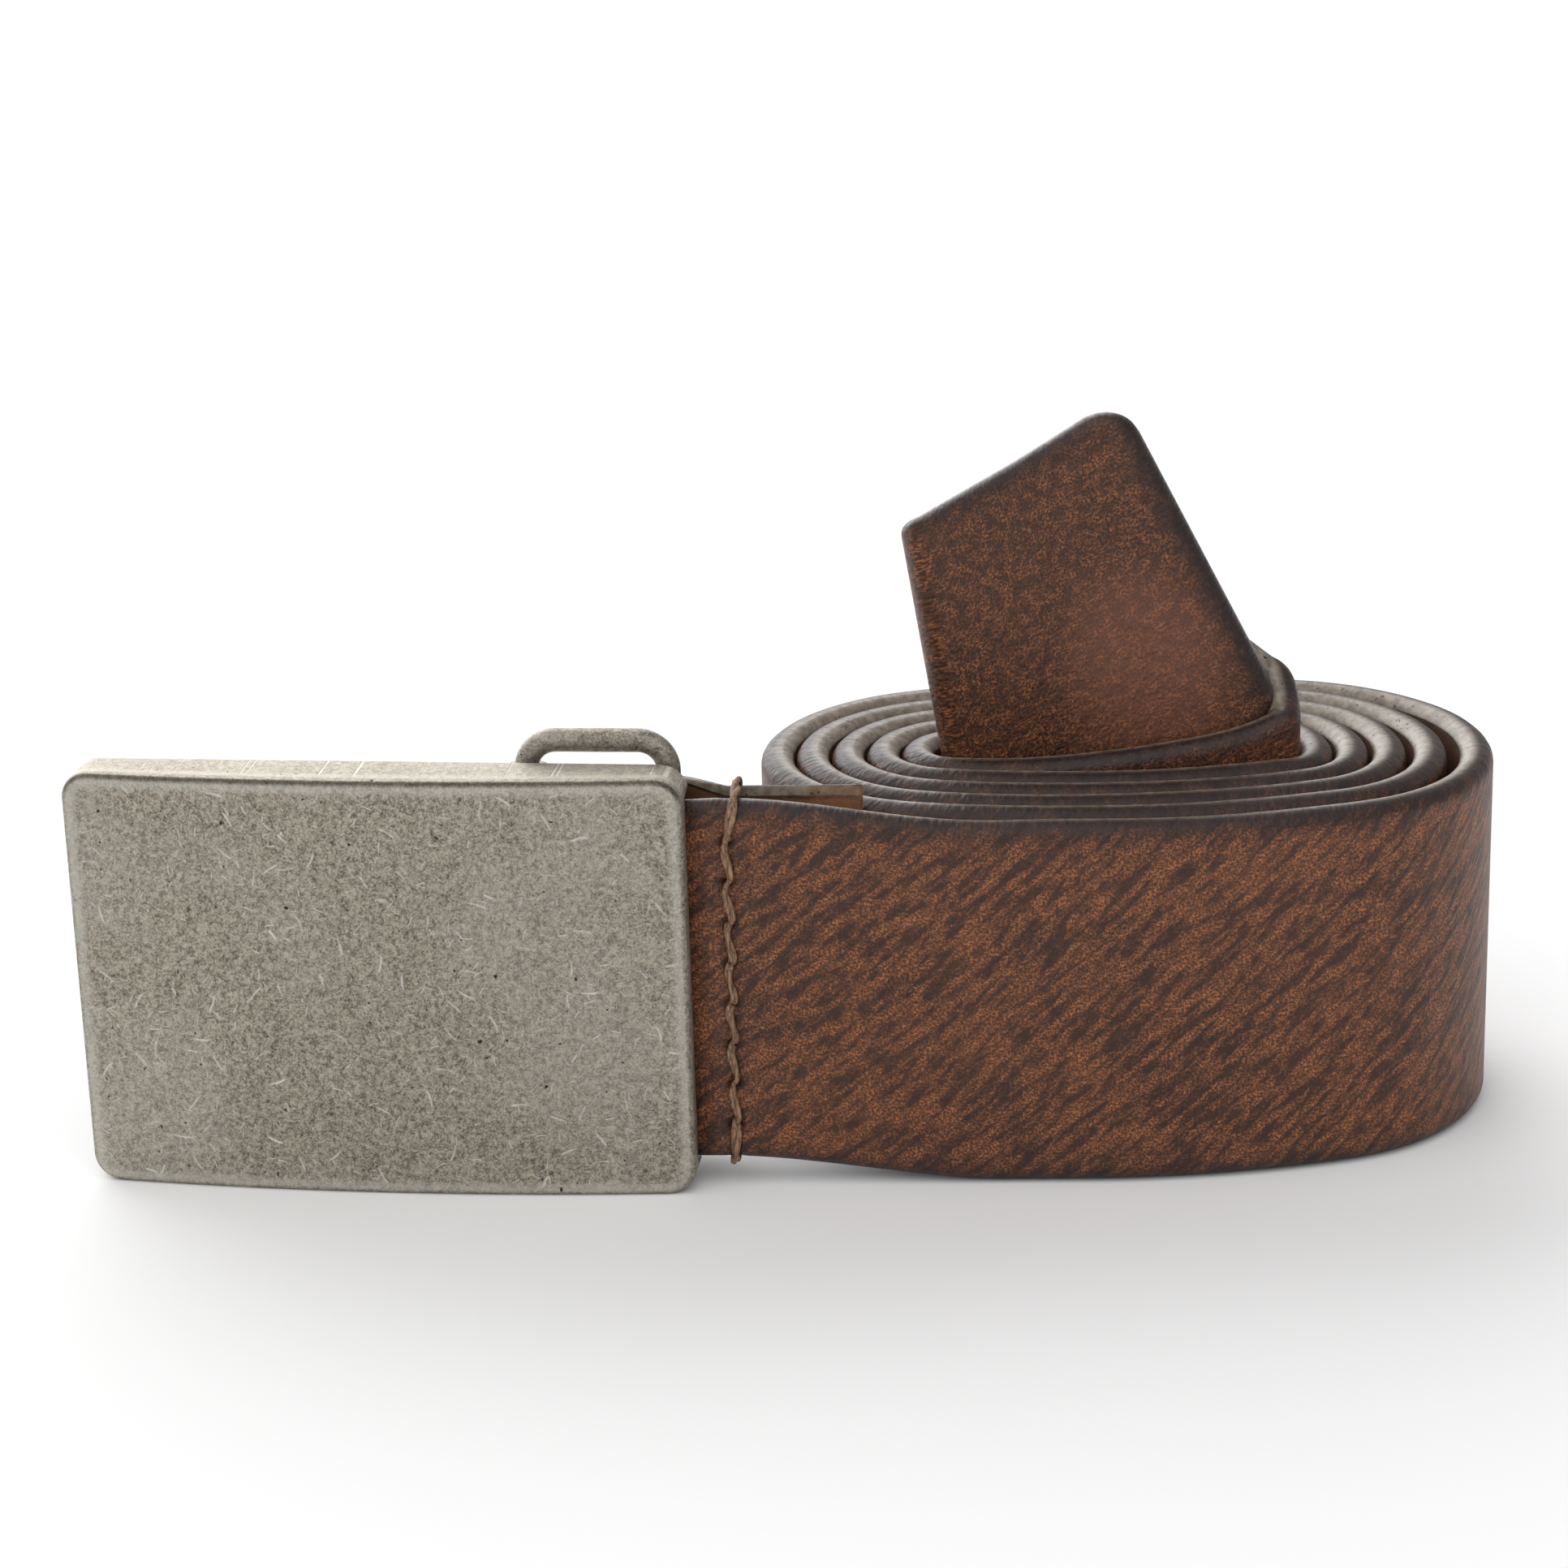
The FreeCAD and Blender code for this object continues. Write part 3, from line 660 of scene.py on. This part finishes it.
def plate_mesh():
    """Front and rear grids joined round the edge, and the marks that the material uses.

    A rim mark holds the distance inside the outline, the dark line below the top (on the sides and rear a
    painted shade), and the top itself, which the material paints lighter as a highlight.
    """
    us = edge_stops(PLATE_W)
    zs = edge_stops(PLATE_H, (2.2, 2.6))
    nu, nz = len(us), len(zs)
    front, back, uvs, rims, sides = [], [], [], [], []
    soft, rear_soft = 0.75, 0.35
    for z in zs:
        for u in us:
            x, y, inside = rounded(u, z)
            d = min(inside, soft)
            curve = soft - math.sqrt(max(0.0, soft ** 2 - (soft - d) ** 2))
            front.append(plate_place(x, panel_depth(x) + curve, y))
            reach = abs(y - PLATE_H / 2)
            rim = float(smooth(reach, 20.4, 20.9))
            rear = (panel_depth(x) + PANEL_T) * (1 - rim) + PLATE_REAR * rim
            e = min(inside, rear_soft)
            rear -= rear_soft - math.sqrt(max(0.0, rear_soft ** 2 - (rear_soft - e) ** 2))
            back.append(plate_place(x, rear, y))
            uvs.append((-x * MM, y * MM))
            line = float(smooth(inside, 0.02, 0.14) * (1 - smooth(inside, 0.30, 0.6)))
            upper = float(smooth(y, PLATE_H - 3.0, PLATE_H - 1.5))
            rims.append((min(inside, 5.0) / 5, line * upper, upper * (inside < 0.1), 1))
            # sides and rear: half the dark mark as painted shade, and the top marked for its painted
            # highlight
            sides.append((1.0, 0.5 * (1 - upper), upper, 1))
    faces = []
    total = nu * nz
    for j in range(nz - 1):
        for i in range(nu - 1):
            a = j * nu + i
            faces.append((a, a + nu, a + nu + 1, a + 1))
            faces.append((total + a, total + a + 1, total + a + nu + 1, total + a + nu))
    loop = [i for i in range(nu)] + [j * nu + nu - 1 for j in range(1, nz)]
    loop += [(nz - 1) * nu + i for i in range(nu - 2, -1, -1)] + [j * nu for j in range(nz - 2, 0, -1)]
    for k, a in enumerate(loop):
        b = loop[(k + 1) % len(loop)]
        faces.append((a, b, total + b, total + a))
    return front + back, faces, uvs + uvs, rims + sides


def prism(outline, z0, z1, soft=0.35):
    """Upright block over a plan outline in plate axes, its two end edges eased."""
    mid_u = sum(p[0] for p in outline) / len(outline)
    mid_d = sum(p[1] for p in outline) / len(outline)
    near = soft * 0.3
    levels = ((z0, 1), (z0 + near, 0.4), (z0 + soft, 0), (z1 - soft, 0), (z1 - near, 0.4), (z1, 1))
    verts, faces, count = [], [], len(outline)
    for z, shrink in levels:
        for u, d in outline:
            away = math.hypot(u - mid_u, d - mid_d)
            k = 1 - soft * shrink / away
            verts.append(plate_place(mid_u + (u - mid_u) * k, mid_d + (d - mid_d) * k, z))
    for level in range(len(levels) - 1):
        for i in range(count):
            j = (i + 1) % count
            a = level * count
            faces.append((a + i, a + j, a + count + j, a + count + i))
    faces.append(tuple(range(count))[::-1])
    faces.append(tuple(range(len(verts) - count, len(verts))))
    return verts, faces


def lathe(profile, sides=40):
    """(distance along the peg axis, radius) pairs turned round it, in plate axes."""
    verts, faces = [], []
    for depth, r in profile:
        for i in range(sides):
            a = 2 * math.pi * i / sides
            verts.append(plate_place(PEG_U + r * math.cos(a), depth, PLATE_H / 2 + r * math.sin(a)))
    for k in range(len(profile) - 1):
        for i in range(sides):
            j = (i + 1) % sides
            faces.append((k * sides + i, k * sides + j, (k + 1) * sides + j, (k + 1) * sides + i))
    faces.append(tuple(range(sides))[::-1])
    faces.append(tuple(range(len(verts) - sides, len(verts))))
    return verts, faces


def turn_outwards(obj):
    """Consistent outward normals."""
    bm = bmesh.new()
    bm.from_mesh(obj.data)
    bmesh.ops.recalc_face_normals(bm, faces=bm.faces)
    bm.to_mesh(obj.data)
    bm.free()


def build_plate():
    verts, faces, uvs, rims = plate_mesh()
    # two lugs round the hinge bar, let into the panel
    lug_z = (LOOP_Z0 + 2 * BAR_R + LUG_GAP, LOOP_Z1 - 2 * BAR_R - LUG_GAP - LUG_H)
    inner = panel_depth(HINGE_U) + PANEL_T - 0.3
    angles = np.linspace(0, math.pi, 17)
    arc = [(HINGE_U + LUG_R * math.cos(a), HINGE_DEPTH + LUG_R * math.sin(a)) for a in angles]
    lug = [(HINGE_U + LUG_R, inner)] + arc + [(HINGE_U - LUG_R, inner)]
    extra = [prism(lug, z, z + LUG_H) for z in lug_z]
    # the peg's boss: a low cone with eased edges
    seat = panel_depth(PEG_U) + PANEL_T
    boss = ((-0.3, 4.3), (0.15, 3.75), (0.7, 3.6), (0.95, 3.45), (1.0, 3.2))
    extra.append(lathe([(seat + depth, r) for depth, r in boss]))
    for more_verts, more_faces in extra:
        base = len(verts)
        verts += more_verts
        faces += [tuple(base + i for i in f) for f in more_faces]
        uvs += [(-v[0], v[2]) for v in more_verts]
        rims += [(1.0, 0.0, 0.0, 1.0)] * len(more_verts)
    obj = new_object("buckle_plate_look", verts, faces, "buckle", metal("plate_metal", True))
    layer = obj.data.uv_layers.new(name="plane")
    index = np.empty(len(obj.data.loops), dtype=np.int32)
    obj.data.loops.foreach_get("vertex_index", index)
    layer.data.foreach_set("uv", np.array(uvs, dtype=np.float32)[index].ravel())
    rim = obj.data.color_attributes.new("rim", "FLOAT_COLOR", "POINT")
    rim.data.foreach_set("color", np.array(rims, dtype=np.float32).ravel())
    turn_outwards(obj)
    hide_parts("buckle_plate")


def build_peg(material):
    seat = panel_depth(PEG_U) + PANEL_T + 1.0
    ease = 1.2
    end = seat + PEG_LEN - ease
    profile = [(seat - 0.5, 1.5), (seat, 1.5), (seat, PEG_R), (end, PEG_R)]
    for a in np.linspace(0.2, math.pi / 2, 7):
        profile.append((end + ease * math.sin(a), PEG_R - ease + ease * math.cos(a)))
    verts, faces = lathe(profile)
    obj = new_object("hook_peg_look", verts, faces, "buckle", material)
    turn_outwards(obj)
    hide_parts("hook_peg")


def tube(points, radius, sides=20, closed=False):
    """Round tube along 3-D points; the radius is a number or a function of the point's index."""
    pts = [Vector(p) for p in points]
    n = len(pts)
    verts, faces = [], []
    up = None
    for i, p in enumerate(pts):
        a = pts[(i - 1) % n] if closed or i else pts[0]
        b = pts[(i + 1) % n] if closed or i < n - 1 else pts[-1]
        t = (b - a).normalized()
        if up is None:
            up = t.orthogonal().normalized()
        up = (up - t * up.dot(t)).normalized()
        side = t.cross(up)
        r = radius(i) if callable(radius) else radius
        for k in range(sides):
            q = 2 * math.pi * k / sides
            verts.append((p + up * (r * math.cos(q)) + side * (r * math.sin(q))) * MM)
    rings = n if closed else n - 1
    for i in range(rings):
        a, b = i * sides, ((i + 1) % n) * sides
        for k in range(sides):
            m = (k + 1) % sides
            faces.append((a + k, a + m, b + m, b + k))
    if not closed:
        faces.append(tuple(range(sides))[::-1])
        faces.append(tuple(range((n - 1) * sides, n * sides)))
    return verts, faces


def build_loop(material):
    hinge = np.array(plate_place(HINGE_U, HINGE_DEPTH, 0)[:2]) / MM
    across = BAR - hinge
    width = float(np.linalg.norm(across))
    across = across / width
    r, z0, z1 = LOOP_CORNER, LOOP_Z0 + BAR_R, LOOP_Z1 - BAR_R
    path = []
    corners = ((width - r, z1 - r), (r, z1 - r), (r, z0 + r), (width - r, z0 + r))
    for quarter, (cu, cz) in enumerate(corners):
        for k in range(13):
            a = math.pi * (0.5 * quarter + 0.5 * k / 12)
            path.append((cu + r * math.cos(a), cz + r * math.sin(a)))
    dense = []
    for k, p in enumerate(path):
        q = path[(k + 1) % len(path)]
        du, dz = q[0] - p[0], q[1] - p[1]
        steps = max(1, int(math.hypot(du, dz) / 1.2))
        dense += [(p[0] + du * i / steps, p[1] + dz * i / steps) for i in range(steps)]
    points = [(*(hinge + across * u), z) for u, z in dense]
    wobble = [BAR_R * (1 + 0.02 * noise.noise(Vector(p) * 0.3)) for p in points]
    verts, faces = tube(points, lambda i: wobble[i], 28, closed=True)
    obj = new_object("wire_loop_look", verts, faces, "loop", material)
    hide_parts("wire_loop")


# ---- seam thread: two twisted strands, slanting stitches on both sides and a wrap over each edge ----
def thread_material():
    n = Nodes("thread")
    solid = n.turned(n.add("TexCoord").outputs["Object"], 0.0, (MM, MM, MM))
    fuzz = n.noise(n.turned(solid, 0.0, (1.0, 1.0, 7.0)), 5.0, 3.0, 0.7)
    n.put(n.bsdf, "Base Color", n.mix(n.span(fuzz, 0.3, 0.7), rgb(66, 45, 33), rgb(165, 128, 98)))
    n.put(n.bsdf, "Roughness", 0.62)
    n.put(n.bsdf, "Normal", n.bump(fuzz, 0.00008))
    return n.mat


def rounded_path(corners, step=0.12, passes=14):
    """Evenly stepped points along a polyline, its corners relaxed."""
    pts = []
    for a, b in zip(corners, corners[1:]):
        a, b = Vector(a), Vector(b)
        k = max(2, int((b - a).length / step))
        pts += [a.lerp(b, i / k) for i in range(k)]
    pts.append(Vector(corners[-1]))
    for _ in range(passes):
        pts = [pts[0]] + [(p + 2 * q + r) / 4 for p, q, r in zip(pts, pts[1:], pts[2:])] + [pts[-1]]
    return pts


def twisted(path, phase, size):
    """Two strands wound round a path."""
    verts, faces = [], []
    for strand in (0, math.pi):
        gone, points = 0.0, []
        side = Vector((1, 0, 0))
        for i, p in enumerate(path):
            t = (path[min(i + 1, len(path) - 1)] - path[max(i - 1, 0)]).normalized()
            side = (side - t * side.dot(t)).normalized()
            a = phase + strand + gone * 2 * math.pi / THREAD_TWIST
            points.append(p + (side * math.cos(a) + t.cross(side) * math.sin(a)) * THREAD_OFF * size)
            gone += (path[min(i + 1, len(path) - 1)] - p).length
        v, f = tube(points, THREAD_R * size, 10)
        faces += [tuple(len(verts) + k for k in face) for face in f]
        verts += v
    return verts, faces


def build_thread():
    """Stitches between the holes, front and back, then one looser wrap over the top and one below."""
    def at(dx, depth, z):
        return (*run_point(SEAM_X + dx, depth), z)

    front, back = 0.16, 2 * STRAP_T - 0.16
    top, foot = LIFT + STRAP_W, LIFT
    holes = [STITCH_TOP - k * STITCH_PITCH for k in range(STITCHES)]
    paths = []
    for k in range(STITCHES - 1):
        a, b = holes[k] - 0.15, holes[k + 1] + 0.15
        lean = 0.34 + 0.10 * noise.noise(Vector((k * 1.7, 0, 4)))
        for surface, inner, out in ((front, 1.3, -0.42), (back, back - 1.3, 0.42)):
            y = surface + out
            paths.append([at(-0.1, inner, a), at(-0.1, surface, a), at(-lean, y, a - 0.7),
                          at(lean, y, b + 0.7), at(0.1, surface, b), at(0.1, inner, b)])
    for hole, edge, away, dx in ((holes[0], top, 0.45, 0.9), (holes[-1], foot, -0.45, -0.25)):
        paths.append([at(0, 1.3, hole), at(0, front, hole), at(0.05, front - 0.42, hole + away * 1.6),
                      at(dx * 0.8, front - 0.4, edge - away * 1.2), at(dx, 0.7, edge + away * 0.8),
                      at(dx, back - 0.5, edge + away * 0.8),
                      at(dx * 0.9, back + 0.42, edge - away * 1.2),
                      at(0.1, back + 0.42, hole + away * 1.6),
                      at(0, back, hole), at(0, back - 1.3, hole)])
    verts, faces = [], []
    for k, corners in enumerate(paths):
        size = STITCH_SIZE if k < 2 * (STITCHES - 1) else WRAP_SIZE
        v, f = twisted(rounded_path(corners), 0.8 + 1.3 * k, size)
        faces += [tuple(len(verts) + i for i in face) for face in f]
        verts += v
    obj = new_object("seam_thread_look", verts, faces, "belt", thread_material())
    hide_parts("seam_thread")


build_strap(leather())
build_plate()
build_thread()
steel = metal("loop_metal", False)
build_peg(steel)
build_loop(steel)


# ---- floor, light, world ----
def world():
    """Even white surroundings, with a broad soft light low behind on the left."""
    w = bpy.data.worlds.new("studio")
    bpy.context.scene.world = w
    w.use_nodes = True
    tree = w.node_tree
    back = tree.nodes["Background"]
    ray = tree.nodes.new("ShaderNodeTexCoord")
    facing = tree.nodes.new("ShaderNodeVectorMath")
    facing.operation = "DOT_PRODUCT"
    facing.inputs[1].default_value = Vector(GLOW_FROM).normalized()
    spread = tree.nodes.new("ShaderNodeMapRange")
    spread.interpolation_type = "SMOOTHSTEP"
    for i, v in enumerate((GLOW_EDGE, GLOW_CORE, AROUND, GLOW)):
        spread.inputs[i + 1].default_value = v
    tree.links.new(ray.outputs["Generated"], facing.inputs[0])
    tree.links.new(facing.outputs["Value"], spread.inputs[0])
    tree.links.new(spread.outputs[0], back.inputs["Strength"])
    back.inputs["Color"].default_value = (1, 1, 1, 1)


def sun(name, at, strength, spread):
    data = bpy.data.lights.new(name, "SUN")
    data.energy, data.angle = strength, math.radians(spread)
    obj = bpy.data.objects.new(name, data)
    obj.location = at
    obj.rotation_mode = "QUATERNION"
    obj.rotation_quaternion = (-Vector(at)).to_track_quat("-Z", "Y")
    bpy.context.scene.collection.objects.link(obj)


def floor():
    mat = bpy.data.materials.new("floor")
    mat.use_nodes = True
    bsdf = mat.node_tree.nodes["Principled BSDF"]
    bsdf.inputs["Base Color"].default_value = (FLOOR_TONE, FLOOR_TONE, FLOOR_TONE, 1)
    bsdf.inputs["Roughness"].default_value = 1.0
    bsdf.inputs["Specular IOR Level"].default_value = 0.0
    s = FLOOR_HALF
    corners = [(-s, -s, 0), (s, -s, 0), (s, s, 0), (-s, s, 0)]
    obj = new_object("floor", corners, [(0, 1, 2, 3)], None, mat)


world()
floor()
sun("key", KEY_FROM, KEY_STRENGTH, KEY_SPREAD)
bpy.context.scene.view_settings.view_transform = "Standard"
